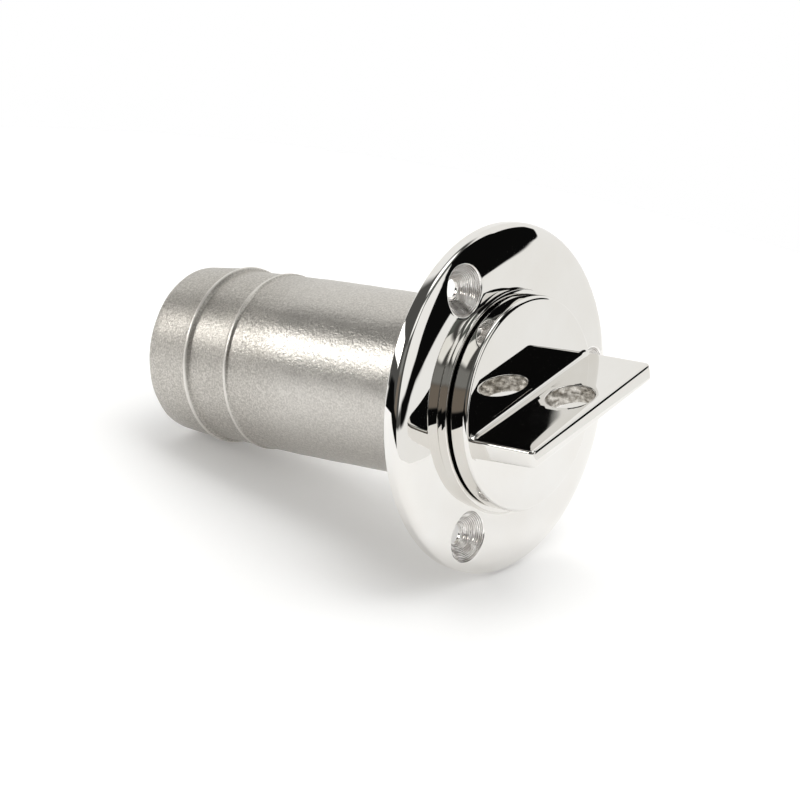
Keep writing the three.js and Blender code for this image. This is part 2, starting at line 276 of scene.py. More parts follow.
def triangulate(points, edges, output):
    """Points, and (corners, middle) of each triangle: of the hull (0) or within the edges (1)."""
    points = [Vector(p) for p in points]
    found, _, faces, _, _, _ = delaunay_2d_cdt(points, edges, [], output, CDT_GAP)
    middles = [sum((found[c] for c in corners), Vector((0, 0))) / len(corners) for corners in faces]
    return found, list(zip(faces, middles))


def holed_ring(bm, inner, outer, spacing, hole_radius, height, material):
    """Ring round Z with the three screw holes in it, its heights from height(radius)."""
    centres = [screw_centre(a) for a in SCREW_ANGLES]
    points = []
    edges = []
    borders = [(inner, FINE, (0, 0)), (outer, FINE, (0, 0))]
    borders += [(hole_radius, HOLE_STEPS, centre) for centre in centres]
    for radius, steps, centre in borders:
        edges += loop_of(steps, len(points))
        points += circle(centre, radius, steps)
    clear = hole_radius + spacing * 1.6
    rows = math.ceil((outer - inner) / spacing)
    for k in range(1, rows):
        for point in circle((0, 0), inner + (outer - inner) * k / rows, FINE):
            if all(math.dist(point, c) > clear for c in centres):
                points.append(point)
    margin = spacing / 2
    for centre in centres:
        around = circle(centre, hole_radius + spacing * 0.8, HOLE_STEPS)
        points += [p for p in around if inner + margin < math.hypot(*p) < outer - margin]
    found, faces = triangulate(points, edges, 0)
    verts = [bm.verts.new((p.x, p.y, height(p.length))) for p in found]
    inner_flat = inner * math.cos(math.pi / FINE)
    hole_flat = hole_radius * math.cos(math.pi / HOLE_STEPS)
    for corners, middle in faces:
        off_holes = all((middle - Vector(c)).length > hole_flat for c in centres)
        if inner_flat < middle.length < outer and off_holes:
            add_face(bm, [verts[c] for c in corners], material)


def screw_centre(angle):
    turn = math.radians(angle)
    return (SCREW_CIRCLE_RADIUS * math.cos(turn), SCREW_CIRCLE_RADIUS * math.sin(turn))


def helix_ridge(bm, foot, crest, turns, start):
    """Trapezoid thread ridge between two radii, fading in and out over a sixth of a turn."""
    steps = round(turns * THREAD_STEPS)
    fade_steps = THREAD_STEPS / 6
    embed = -math.copysign(THREAD_EMBED, crest - foot)
    sections = []
    for i in range(steps + 1):
        angle = math.tau * turns * i / steps
        height = start + PITCH * turns * i / steps
        fade = min(1, i / fade_steps, (steps - i) / fade_steps)
        rise = (crest - foot) * (0.05 + 0.95 * math.sin(fade * math.pi / 2))
        flank = [(embed, 1.0), (0, 1.0), (rise * 0.85, 0.6), (rise, 0.45)]
        section = [(foot + offset, height - half) for offset, half in flank]
        section += [(foot + offset, height + half) for offset, half in reversed(flank)]
        across = (math.cos(angle), math.sin(angle))
        sections.append([bm.verts.new((r * across[0], r * across[1], z)) for r, z in section])
    for lower, upper in zip(sections, sections[1:]):
        bridge(bm, lower, upper)
    for end in (sections[0], sections[-1]):
        bm.faces.new(end)


def clean(bm):
    """Merges doubled vertices and turns the faces outwards."""
    bmesh.ops.remove_doubles(bm, verts=bm.verts, dist=MERGE)
    bmesh.ops.recalc_face_normals(bm, faces=bm.faces)


def rotate(bm, degrees, axis):
    bmesh.ops.rotate(bm, verts=bm.verts, matrix=Matrix.Rotation(math.radians(degrees), 3, axis))


def make_piece(name, bm, body, materials, nodes, sharp_degrees=35):
    """Visible piece that rides on a body in place of its CAD nodes, with its sharp edges marked."""
    clean(bm)
    limit = math.radians(sharp_degrees)
    for edge in bm.edges:
        edge.smooth = len(edge.link_faces) == 2 and edge.calc_face_angle(0) < limit
    bmesh.ops.scale(bm, vec=(MM, MM, MM), verts=bm.verts)
    mesh = bpy.data.meshes.new(name)
    bm.to_mesh(mesh)
    bm.free()
    for material in materials:
        mesh.materials.append(material)
    piece = bpy.data.objects.new(name, mesh)
    bpy.context.scene.collection.objects.link(piece)
    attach(piece, body)
    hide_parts(*nodes)


# ------------------------------------------------------------------- materials


def new_material(name, colour, metallic, roughness):
    material = bpy.data.materials.new(name)
    material.use_nodes = True
    shader = material.node_tree.nodes["Principled BSDF"]
    shader.inputs["Base Color"].default_value = (*colour, 1)
    shader.inputs["Metallic"].default_value = metallic
    shader.inputs["Roughness"].default_value = roughness
    return material


class Graph:
    """Short calls for building a node tree."""

    def __init__(self, tree):
        self.tree = tree

    def node(self, kind, inputs=(), **settings):
        node = self.tree.nodes.new(kind)
        for key, value in settings.items():
            setattr(node, key, value)
        for socket, value in dict(inputs).items():
            if isinstance(value, bpy.types.NodeSocket):
                self.tree.links.new(value, node.inputs[socket])
            else:
                node.inputs[socket].default_value = value
        return node

    def math(self, operation, *values):
        return self.node("ShaderNodeMath", enumerate(values), operation=operation).outputs[0]

    def noise(self, vector, scale, detail=3.0, roughness=0.5):
        inputs = {"Vector": vector, "Scale": scale, "Detail": detail, "Roughness": roughness}
        return self.node("ShaderNodeTexNoise", inputs).outputs["Fac"]

    def spread(self, value, low, high, to_low, to_high, smooth=False):
        """Maps the range low to high onto the range to_low to to_high, without leaving it."""
        kind = "SMOOTHSTEP" if smooth else "LINEAR"
        ends = {"From Min": low, "From Max": high, "To Min": to_low, "To Max": to_high}
        inputs = {"Value": value, **ends}
        return self.node("ShaderNodeMapRange", inputs, interpolation_type=kind).outputs["Result"]

    def blend(self, factor, first, second):
        node = self.node("ShaderNodeMix", data_type="RGBA")
        for socket, value in ((0, factor), (6, first), (7, second)):
            if isinstance(value, bpy.types.NodeSocket):
                self.tree.links.new(value, node.inputs[socket])
            else:
                node.inputs[socket].default_value = value if socket == 0 else (*value, 1)
        return node.outputs[2]

    def bump(self, height, strength, distance, normal=None):
        inputs = {"Height": height, "Strength": strength, "Distance": distance}
        if normal is not None:
            inputs["Normal"] = normal
        return self.node("ShaderNodeBump", inputs).outputs["Normal"]

    def object_position(self):
        return self.node("ShaderNodeTexCoord").outputs["Object"]

    def vector_math(self, operation, *values):
        return self.node("ShaderNodeVectorMath", enumerate(values), operation=operation).outputs

    def shade(self, **sockets):
        shader = self.tree.nodes["Principled BSDF"]
        for socket, value in sockets.items():
            self.tree.links.new(value, shader.inputs[socket.replace("_", " ")])


def polished_steel():
    """Mirror finish with faint buffing haze and the slight waviness of a hand-polished casting."""
    colour = (0.81, 0.80, 0.78)
    smoothest = 0.005
    material = new_material("polished_steel", colour, 1, smoothest)
    graph = Graph(material.node_tree)
    where = graph.object_position()
    haze = graph.noise(where, 55, 4)
    fine = graph.noise(where, 900, 2)
    warm = tuple(c * f for c, f in zip(colour, (0.965, 0.955, 0.94)))
    buffing = graph.math("ADD", haze, graph.math("MULTIPLY", fine, 0.3))
    graph.shade(
        Base_Color=graph.blend(graph.spread(haze, 0.35, 0.7, 0, 1), colour, warm),
        Roughness=graph.spread(buffing, 0.45, 0.9, smoothest, 0.03),
        Normal=graph.bump(graph.noise(where, 38, 1), 0.05, 0.0006),
    )
    return material


def blasted_steel():
    """Bead-blasted casting: fine bright grain over warm grey, smoother towards the flange, with a
    painted sheen there and painted highlights on the barbs' crests.
    """
    material = new_material("blasted_steel", (0.54, 0.52, 0.49), 1, 0.3)
    graph = Graph(material.node_tree)
    where = graph.object_position()
    height = graph.node("ShaderNodeSeparateXYZ", {"Vector": where}).outputs["Z"]
    flat = graph.vector_math("MULTIPLY", where, (1, 1, 0))["Vector"]
    radius = graph.vector_math("LENGTH", flat)["Value"]
    # Painted highlight: the barbs' proud crests get a lighter colour, as if they caught the light
    near_barbs = graph.spread(height, -72 * MM, -70 * MM, 1, 0)
    proud = graph.spread(radius, (NECK_RADIUS + 0.04) * MM, (NECK_RADIUS + 0.2) * MM, 0, 1)
    crest = graph.math("MULTIPLY", proud, near_barbs)
    grain = graph.noise(where, 1900, 2, 0.6)
    coarse = graph.noise(where, 1000, 2)
    stains = graph.noise(where, 60, 4, 0.6)
    ragged_height = graph.math("MULTIPLY_ADD", stains, 30 * MM, height)
    # Towards the flange the steel is smoother, and its colour gets lighter: a painted sheen that
    # stands in for the flange's reflection
    burnish_and_painted_sheen = graph.spread(ragged_height, -55 * MM, -35 * MM, 0, 1, True)
    speck = graph.spread(grain, 0.36, 0.66, 0, 1)
    tone = graph.blend(speck, (0.42, 0.40, 0.37), (0.66, 0.635, 0.595))
    tone = graph.blend(graph.spread(stains, 0.52, 0.75, 0, 0.3), tone, (0.40, 0.38, 0.35))
    # Painted sheen: a lighter colour towards the flange
    tone = graph.blend(graph.math("MULTIPLY", burnish_and_painted_sheen, 0.3), tone, (0.74, 0.72, 0.69))
    # Painted highlight along the barbs' crests
    tone = graph.blend(graph.math("MULTIPLY", crest, 0.75), tone, (0.86, 0.84, 0.80))
    rough = graph.spread(coarse, 0.3, 0.7, 0.38, 0.45)
    graph.shade(
        Base_Color=tone,
        Roughness=graph.math("MULTIPLY_ADD", burnish_and_painted_sheen, -0.06, rough),
        Normal=graph.bump(coarse, 0.35, 0.00022, graph.bump(grain, 0.5, 0.00012)),
    )
    return material


def cast_steel():
    """Inside of the fin's hole, left rough from the mould."""
    material = new_material("cast_steel", (0.6, 0.57, 0.52), 1, 0.35)
    graph = Graph(material.node_tree)
    where = graph.object_position()
    lumps = graph.noise(where, 520, 5, 0.65)
    pits = graph.node("ShaderNodeTexVoronoi", {"Vector": where, "Scale": 900.0}).outputs["Distance"]
    light = graph.spread(lumps, 0.35, 0.65, 0, 1)
    graph.shade(
        Base_Color=graph.blend(light, (0.24, 0.215, 0.18), (0.86, 0.83, 0.78)),
        Roughness=graph.spread(lumps, 0.3, 0.7, 0.45, 0.22),
        Normal=graph.bump(pits, 0.4, 0.0001, graph.bump(lumps, 0.8, 0.0005)),
    )
    return material


def machined_steel():
    """Countersink with a spiral of fine tool marks. U is the angle round it and V its depth."""
    material = new_material("machined_steel", (0.84, 0.82, 0.80), 1, 0.14)
    graph = Graph(material.node_tree)
    where = graph.object_position()
    uv = graph.node("ShaderNodeUVMap", uv_map="tool").outputs["UV"]
    parts = graph.node("ShaderNodeSeparateXYZ", {"Vector": uv}).outputs
    turns = graph.math("ADD", graph.math("MULTIPLY", parts["Y"], 13), parts["X"])
    groove = graph.math("SINE", graph.math("MULTIPLY", turns, math.tau))
    chatter = graph.noise(where, 400, 3)
    depth = graph.math("ADD", groove, graph.math("MULTIPLY", chatter, 1.5))
    dull = graph.spread(chatter, 0.4, 0.65, 0, 1)
    graph.shade(
        Base_Color=graph.blend(dull, (0.95, 0.935, 0.915), (0.70, 0.67, 0.64)),
        Roughness=graph.spread(chatter, 0.3, 0.7, 0.08, 0.22),
        Normal=graph.bump(depth, 0.9, 0.00009),
    )
    return material


def rubber():
    """Dull black rubber with a little dust."""
    material = new_material("seal_rubber", (0.012, 0.012, 0.012), 0, 0.6)
    graph = Graph(material.node_tree)
    dust = graph.noise(graph.object_position(), 700, 4)
    dusty = graph.spread(dust, 0.5, 0.8, 0, 1)
    graph.shade(
        Base_Color=graph.blend(dusty, (0.010, 0.010, 0.010), (0.035, 0.034, 0.032)),
        Roughness=graph.spread(dust, 0.3, 0.7, 0.5, 0.72),
        Normal=graph.bump(dust, 0.2, 0.00008),
    )
    return material


def chain_steel():
    """Drawn and tumbled stainless steel of the chain and its fittings."""
    material = new_material("chain_steel", (0.72, 0.71, 0.69), 1, 0.24)
    graph = Graph(material.node_tree)
    where = graph.object_position()
    wear = graph.noise(where, 350, 4)
    scratch = graph.noise(where, 2200, 2)
    worn = graph.spread(wear, 0.4, 0.7, 0, 1)
    graph.shade(
        Base_Color=graph.blend(worn, (0.74, 0.73, 0.71), (0.56, 0.54, 0.51)),
        Roughness=graph.spread(wear, 0.3, 0.7, 0.16, 0.34),
        Normal=graph.bump(scratch, 0.25, 0.00004),
    )
    return material


polished = polished_steel()
blasted = blasted_steel()
cast = cast_steel()
machined = machined_steel()
seal_rubber = rubber()
wire_steel = chain_steel()


# ---------------------------------------------------------------------- filler


def shoulder_centre():
    """Radius and height of the centre of the arc that joins the crown to the rim."""
    turn = math.radians(SHOULDER_TOP)
    gap = CROWN_CURVE - SHOULDER_ROUND
    return (CROWN_RADIUS + gap * math.cos(turn), CROWN_TOP - CROWN_CURVE + gap * math.sin(turn))


def crown_height(radius):
    """Height of the flange's crowned face, or of its rounder shoulder further out."""
    shoulder = shoulder_centre()
    if radius > shoulder[0] + SHOULDER_ROUND * math.cos(math.radians(SHOULDER_TOP)):
        return shoulder[1] + math.sqrt(SHOULDER_ROUND**2 - (radius - shoulder[0]) ** 2)
    return CROWN_TOP - CROWN_CURVE + math.sqrt(CROWN_CURVE**2 - (radius - CROWN_RADIUS) ** 2)


def neck_profile():
    """From the flange's face inwards over the collar, down the bore, and up the neck's outside."""
    corners = [
        (FACE_INNER, crown_height(FACE_INNER), 0),
        (COLLAR_RADIUS, COLLAR_FOOT, 0),
        (COLLAR_RADIUS, COLLAR_TOP, 0.15),
        (FEMALE_ROOT_RADIUS + MOUTH_CHAMFER, COLLAR_TOP, 0.15),
        (FEMALE_ROOT_RADIUS, COLLAR_TOP - MOUTH_CHAMFER, 0.15),
        (FEMALE_ROOT_RADIUS, FEMALE_THREAD_BOTTOM, 0.4),
        (THROAT_RADIUS, THROAT_TOP, 0.5),
        (THROAT_RADIUS, THROAT_BOTTOM, 0.5),
        (NECK_BORE_RADIUS, BORE_TOP, 0.8),
        (NECK_BORE_RADIUS, -NECK_LENGTH, 0.5),
        (NECK_END_RADIUS, -NECK_LENGTH, 1.0),
    ]
    for depth, crest, below, above in BARBS:
        corners += [
            (below, -depth - 1, 0.3),
            (crest, -depth - 0.5, 0.2),
            (crest, -depth + 0.2, 0.25),
            (above, -depth + 0.9, 0.4),
        ]
    corners += [(NECK_RADIUS, -60, 3), (NECK_RADIUS, 0, 2), (NECK_FOOT_RADIUS, 0, 0)]
    return split(rounded(corners), LONGEST_BAND)


def rim_profile():
    """From the underside round the rim to the foot of its wider shoulder."""
    shoulder = shoulder_centre()
    inner_gap = SHOULDER_ROUND - RIM_ROUND
    rim = FLANGE_RADIUS - RIM_ROUND
    rim_height = shoulder[1] + math.sqrt(inner_gap**2 - (rim - shoulder[0]) ** 2)
    meeting = math.degrees(math.acos((rim - shoulder[0]) / inner_gap))
    foot = [(FLANGE_RADIUS - 1, 0, 0), (FLANGE_RADIUS, 0, 0.5), (FLANGE_RADIUS, rim_height, 0)]
    edge = rounded(foot, 5)
    edge += arc(rim, rim_height, RIM_ROUND, 0, meeting, 12)[1:]
    end = math.degrees(math.acos((FACE_OUTER - shoulder[0]) / SHOULDER_ROUND))
    return edge + arc(*shoulder, SHOULDER_ROUND, meeting, end, 2)[1:]


def countersink(bm, centre, uv_layer):
    """Lip, coned seat with its tool marks, and the drilled hole below."""
    depth = COUNTERSINK_RADIUS - COUNTERSINK_LIP - SCREW_HOLE_RADIUS
    cone_bottom = crown_height(SCREW_CIRCLE_RADIUS) - COUNTERSINK_LIP - depth

    def on_face(radius, drop):
        around = circle(centre, radius, HOLE_STEPS)
        return [(x, y, crown_height(math.hypot(x, y)) - drop) for x, y in around]

    lip = on_face(COUNTERSINK_RADIUS, 0)
    rings = [lip]
    for turn in (math.pi / 8, math.pi / 4):
        inset = 0.9 * COUNTERSINK_LIP * math.sin(turn)
        rings.append(on_face(COUNTERSINK_RADIUS - inset, COUNTERSINK_LIP * (1 - math.cos(turn))))
    for k in range(COUNTERSINK_ROWS + 1):
        t = k / COUNTERSINK_ROWS
        row = []
        for i, (_, _, top) in enumerate(lip):
            angle = math.tau * i / HOLE_STEPS
            radius = COUNTERSINK_RADIUS - COUNTERSINK_LIP - t * depth
            if 0 < k < COUNTERSINK_ROWS:
                radius += TOOL_GROOVE * math.sin(math.tau * TOOL_TURNS * t + angle)
            x = centre[0] + radius * math.cos(angle)
            y = centre[1] + radius * math.sin(angle)
            row.append((x, y, (top - COUNTERSINK_LIP) * (1 - t) + cone_bottom * t))
        rings.append(row)
    for height in (cone_bottom - 0.3, 0):
        rings.append([(x, y, height) for x, y in circle(centre, SCREW_HOLE_RADIUS, HOLE_STEPS)])
    rings = [[bm.verts.new(point) for point in ring] for ring in rings]
    for k, (upper, lower) in enumerate(zip(rings, rings[1:])):
        first = len(bm.faces)
        bridge(bm, upper, lower, POLISHED if k < 2 else MACHINED)
        bm.faces.ensure_lookup_table()
        for i, face in enumerate(bm.faces[first:]):
            spots = ((i, k), (i + 1, k), (i + 1, k + 1), (i, k + 1))
            for loop, (u, v) in zip(face.loops, spots):
                loop[uv_layer].uv = (u / HOLE_STEPS, v / len(rings))


def uneven(bm, material, scale, depth, seed, amount=lambda point: 1.0):
    """Moves one material's vertices along their normals by smooth noise, as on a casting."""
    bm.normal_update()
    chosen = {v for f in bm.faces if f.material_index == material for v in f.verts}
    border = {v for v in chosen if any(f.material_index != material for f in v.link_faces)}
    for vert in chosen - border:
        height = depth * noise.noise(vert.co * scale + Vector((seed, seed * 2, seed * 3)))
        vert.co += vert.normal * height * amount(vert.co)


def build_filler():
    bm = bmesh.new()
    uv_layer = bm.loops.layers.uv.new("tool")
    holed_ring(bm, FACE_INNER, FACE_OUTER, 0.9, COUNTERSINK_RADIUS, crown_height, POLISHED)
    underside = (NECK_FOOT_RADIUS, FLANGE_RADIUS - 1, 2.4, SCREW_HOLE_RADIUS)
    holed_ring(bm, *underside, lambda radius: 0.0, BLASTED)
    revolve(bm, rim_profile(), material=POLISHED)

    def finish(radius, height):
        return POLISHED if height > 0.2 else BLASTED

    revolve(bm, neck_profile(), material=finish)
    for angle in SCREW_ANGLES:
        countersink(bm, screw_centre(angle), uv_layer)
    clean(bm)
    uneven(bm, BLASTED, 0.16, 0.09, 3)
    start = MALE_THREAD_START - PITCH / 2
    helix_ridge(bm, FEMALE_ROOT_RADIUS, FEMALE_CREST_RADIUS, FEMALE_THREAD_TURNS, start)
    finishes = [polished, blasted, machined]
    make_piece("filler_casting", bm, "filler", finishes, ["filler_body"])


# ------------------------------------------------------------------------- cap


def build_cap():
    bm = bmesh.new()
    groove_inner = SEAL_RADIUS - GROOVE_HALF_WIDTH
    groove_outer = SEAL_RADIUS + GROOVE_HALF_WIDTH
    groove_roof = CAP_UNDERSIDE + GROOVE_DEPTH
    corners = [
        (0, SPIGOT_ROOF, 0),
        (RIVET_HOLE_RADIUS, SPIGOT_ROOF, 0),
        (RIVET_HOLE_RADIUS, BOSS_BOTTOM, 0.2),
        (BOSS_RADIUS, BOSS_BOTTOM, 0.3),
        (BOSS_RADIUS, SPIGOT_ROOF, 0.5),
        (SPIGOT_BORE_RADIUS, SPIGOT_ROOF, 0.8),
        (SPIGOT_BORE_RADIUS, SPIGOT_BOTTOM, 0.3),
        (MALE_CORE_RADIUS, SPIGOT_BOTTOM, 0.7),
        (MALE_CORE_RADIUS, CAP_UNDERSIDE, 0.3),
        (groove_inner, CAP_UNDERSIDE, 0.15),
        (groove_inner, groove_roof, 0.2),
        (groove_outer, groove_roof, 0.2),
        (groove_outer, CAP_UNDERSIDE, 0.15),
        (CAP_RADIUS, CAP_UNDERSIDE, 0.3),
        (CAP_RADIUS, CAP_FACE, CAP_ROUND),
        (0, CAP_FACE, 0),
    ]
    revolve(bm, split(rounded(corners, 8), LONGEST_BAND))
    helix_ridge(bm, MALE_CORE_RADIUS, MALE_CREST_RADIUS, MALE_THREAD_TURNS, MALE_THREAD_START)
    make_piece("cap_disc", bm, "screw_cap", [polished], ["cap"])


def fin_outline():
    """Plan of the fin in its own plane: along it, and up from the cap."""
    inner = FIN_HALF_LENGTH - FIN_CORNER
    corner_height = FIN_TOP - FIN_CORNER
    right = arc(inner, corner_height, FIN_CORNER, 0, 90, 12)
    left = arc(-inner, corner_height, FIN_CORNER, 90, 180, 12)
    outline = [(FIN_HALF_LENGTH, FIN_BASE)] + right + left + [(-FIN_HALF_LENGTH, FIN_BASE)]
    return split(outline, 1.0)


def inward_normals(points, closed):
    """Unit normals on the left of the line; an open line's ends get level ones."""
    normals = []
    count = len(points)
    for i in range(count):
        before = points[i - 1] if closed or i > 0 else points[i]
        after = points[(i + 1) % count] if closed or i < count - 1 else points[i]
        along = Vector((after[0] - before[0], after[1] - before[1])).normalized()
        normals.append(Vector((-along.y, along.x)))
    if not closed:
        normals[0] = Vector((-1, 0))
        normals[-1] = Vector((1, 0))
    return normals


def fin_bulge(x, z):
    """How far the fin's side stands off its nominal plane.

    It adds up the draft, the borders buffed down, and the fillet at the cap, which fades out
    towards the fin's ends.
    """
    border = min(FIN_HALF_LENGTH - abs(x), FIN_TOP - z)
    worn = FIN_ROLL * max(0.0, 1 - border / FIN_ROLL_WIDTH) ** 2
    lean = FIN_DRAFT * ((CAP_FACE + FIN_TOP) / 2 - z)
    near_end = max(0.0, min(1.0, (FIN_HALF_LENGTH - abs(x)) / FIN_FILLET_FADE))
    fillet = FIN_FILLET * math.sqrt(near_end)
    rise = CAP_FACE + fillet - z
    if fillet < 0.05 or rise <= 0:
        return lean - worn
    rise = min(rise, fillet)
    return lean - worn + fillet - math.sqrt(fillet**2 - rise**2)


def fin_edge_rows(bm, points, closed, edge, between):
    """Rows of vertices over a rounded edge of the fin, from one side to the other.

    The band between the two roundings gets the material between.
    """
    normals = inward_normals(points, closed)
    rows = []
    for k in range(2 * FIN_EDGE_STEPS + 2):
        side = 1 if k <= FIN_EDGE_STEPS else -1
        step = k if side == 1 else 2 * FIN_EDGE_STEPS + 1 - k
        turn = math.pi / 2 * (1 - step / FIN_EDGE_STEPS)
        inset = edge * (1 - math.cos(turn))
        out = FIN_HALF_THICKNESS - edge * (1 - math.sin(turn))
        row = []
        for (x, z), normal in zip(points, normals):
            px = x + normal.x * inset
            pz = z + normal.y * inset
            row.append(bm.verts.new((px, side * (out + fin_bulge(px, pz)), pz)))
        rows.append(row)
    for k, (a, b) in enumerate(zip(rows, rows[1:])):
        bridge(bm, a, b, between if k == FIN_EDGE_STEPS else POLISHED, closed)
    return rows


def fin_grid():
    """Points inside the fin's side, in closer rows over the fillet at its foot."""
    heights = [FIN_BASE + 1.0, FIN_BASE + 1.6]
    for a in range(1, 11):
        heights.append(CAP_FACE + FIN_FILLET * (1 - math.cos(a / 10 * math.pi / 2)))
    heights += [CAP_FACE + FIN_FILLET + 1.2 * k for k in range(1, 15)]
    points = []
    for height in heights:
        for k in range(1, FIN_COLUMNS):
            x = FIN_HALF_LENGTH * (2 * k / FIN_COLUMNS - 1) * 0.985
            from_hole = math.hypot(x - FIN_HOLE_OFFSET, height - FIN_HOLE_HEIGHT)
            if from_hole > FIN_HOLE_RADIUS + 1 and height < FIN_TOP - 1:
                points.append((x, height))
    return points


def fin_side(bm, side, border, hole):
    """One side of the fin, between its border and its hole."""
    left = border[-1][0]
    length = border[0][0] - left
    bottom = [(left + length * k / FIN_BASE_STEPS, FIN_BASE) for k in range(1, FIN_BASE_STEPS)]
    outer = border + bottom
    edges = loop_of(len(outer), 0) + loop_of(len(hole), len(outer))
    found, faces = triangulate(outer + hole + fin_grid(), edges, 1)
    depth = [side * (FIN_HALF_THICKNESS + fin_bulge(p.x, p.y)) for p in found]
    verts = [bm.verts.new((p.x, y, p.y)) for p, y in zip(found, depth)]
    hole_centre = Vector((FIN_HOLE_OFFSET, FIN_HOLE_HEIGHT))
    hole_reach = (FIN_HOLE_RADIUS + FIN_HOLE_EDGE) * 0.999
    for corners, middle in faces:
        if (middle - hole_centre).length >= hole_reach:
            add_face(bm, [verts[c] for c in corners])


def build_fin():
    bm = bmesh.new()
    border = fin_edge_rows(bm, fin_outline(), False, FIN_EDGE, POLISHED)
    around = arc(FIN_HOLE_OFFSET, FIN_HOLE_HEIGHT, FIN_HOLE_RADIUS, 360, 0, HOLE_STEPS)[:-1]
    hole = fin_edge_rows(bm, around, True, FIN_HOLE_EDGE, CAST)
    for side, row in ((1, 0), (-1, -1)):
        fin_side(bm, side, *([(v.co.x, v.co.z) for v in rows[row]] for rows in (border, hole)))
    bmesh.ops.remove_doubles(bm, verts=bm.verts, dist=MERGE)
    # The foot is closed inside the cap
    bmesh.ops.holes_fill(bm, edges=[e for e in bm.edges if e.is_boundary], sides=0)
    bmesh.ops.recalc_face_normals(bm, faces=bm.faces)
    in_hole = [e for e in bm.edges if any(f.material_index == CAST for f in e.link_faces)]
    long_edges = [e for e in in_hole if abs(e.verts[0].co.y - e.verts[1].co.y) > 1]
    bmesh.ops.subdivide_edges(bm, edges=long_edges, cuts=14)

    def away_from_face(point):
        depth = FIN_HALF_THICKNESS - FIN_HOLE_EDGE - 0.15 - abs(point.y)
        return max(0.0, min(1.0, depth / 0.9))

    uneven(bm, CAST, 0.7, 0.45, 5, away_from_face)
    uneven(bm, CAST, 2.1, 0.2, 9, away_from_face)
    rotate(bm, FIN_ANGLE, "Z")
    finishes = [polished, cast]
    make_piece("cap_fin", bm, "screw_cap", finishes, ["cap"], 40)


def build_seal():
    """Ring in the cap's groove, with a faint line of flash inside and outside."""
    bm = bmesh.new()
    height = CAP_UNDERSIDE + GROOVE_DEPTH - 0.3 - SEAL_HALF_HEIGHT
    steps = 24
    section = []
    for k in range(steps):
        angle = math.tau * k / steps
        flash = 0.06 if k in (0, steps // 2) else 0
        radius = SEAL_RADIUS + (SEAL_HALF_WIDTH + flash) * math.cos(angle)
        section.append((radius, height + SEAL_HALF_HEIGHT * math.sin(angle)))
    revolve(bm, section, closed=True)
    make_piece("seal_ring", bm, "screw_cap", [seal_rubber], ["cap_seal_ring"])


# ----------------------------------------------------------------------- chain


def chain_piece(name, bm, body, node):
    make_piece(name, bm, body, [wire_steel], [node])


def turned_piece(name, corners, body, node, closed=False, turn=None, move=(0, 0, 0)):
    bm = bmesh.new()
    revolve(bm, corners if closed else rounded(corners), 48, closed=closed)
    if turn is not None:
        rotate(bm, 90, turn)
    bmesh.ops.translate(bm, verts=bm.verts, vec=move)
    chain_piece(name, bm, body, node)


def bent_plate(outline, width):
    """Closed outline in the XZ plane, given thickness along Y."""
    bm = bmesh.new()
    front = [bm.verts.new((x, -width / 2, z)) for x, z in outline]
    back = [bm.verts.new((x, width / 2, z)) for x, z in outline]
    bridge(bm, front, back)
    bm.faces.new(front)
    bm.faces.new(back)
    bmesh.ops.recalc_face_normals(bm, faces=bm.faces)
    return bm


def as_object(bm, name):
    mesh = bpy.data.meshes.new(name)
    bm.to_mesh(mesh)
    bm.free()
    thing = bpy.data.objects.new(name, mesh)
    bpy.context.scene.collection.objects.link(thing)
    return thing


def drilled(bm, name, holes, edge):
    """Cuts round holes, given as (axis, centre, radius), and rounds the sharp edges."""
    blank = as_object(bm, name + "_blank")
    cutters = []
    for axis, centre, radius in holes:
        cutter = bmesh.new()
        size = {"radius1": radius, "radius2": radius, "depth": 14}
        bmesh.ops.create_cone(cutter, cap_ends=True, segments=36, **size)
        if axis == "X":
            rotate(cutter, 90, "Y")
        bmesh.ops.translate(cutter, verts=cutter.verts, vec=centre)
        cutters.append(as_object(cutter, name + "_cut"))
        step = blank.modifiers.new("cut", "BOOLEAN")
        step.operation = "DIFFERENCE"
        step.solver = "EXACT"
        step.object = cutters[-1]
    bevel = blank.modifiers.new("edge", "BEVEL")
    bevel.width = edge
    bevel.segments = 3
    bevel.limit_method = "ANGLE"
    bevel.angle_limit = math.radians(40)
    view = bpy.context.evaluated_depsgraph_get()
    result = bmesh.new()
    result.from_mesh(blank.evaluated_get(view).to_mesh())
    for face in result.faces:
        face.smooth = True
    for thing in [blank] + cutters:
        bpy.data.objects.remove(thing)
    return result


def round_corners(bm, radius, axis, place):
    """Rounds the corners of a bent plate's free ends, which lie at that place on the axis."""
    edges = []
    for edge in bm.edges:
        a, b = (vert.co for vert in edge.verts)
        at_end = abs(a[axis] - place) < NEAR and abs(b[axis] - place) < NEAR
        if at_end and abs(a.y - b.y) < NEAR:
            edges.append(edge)
    bmesh.ops.bevel(bm, geom=edges, offset=radius, segments=6, profile=0.5, affect="EDGES")


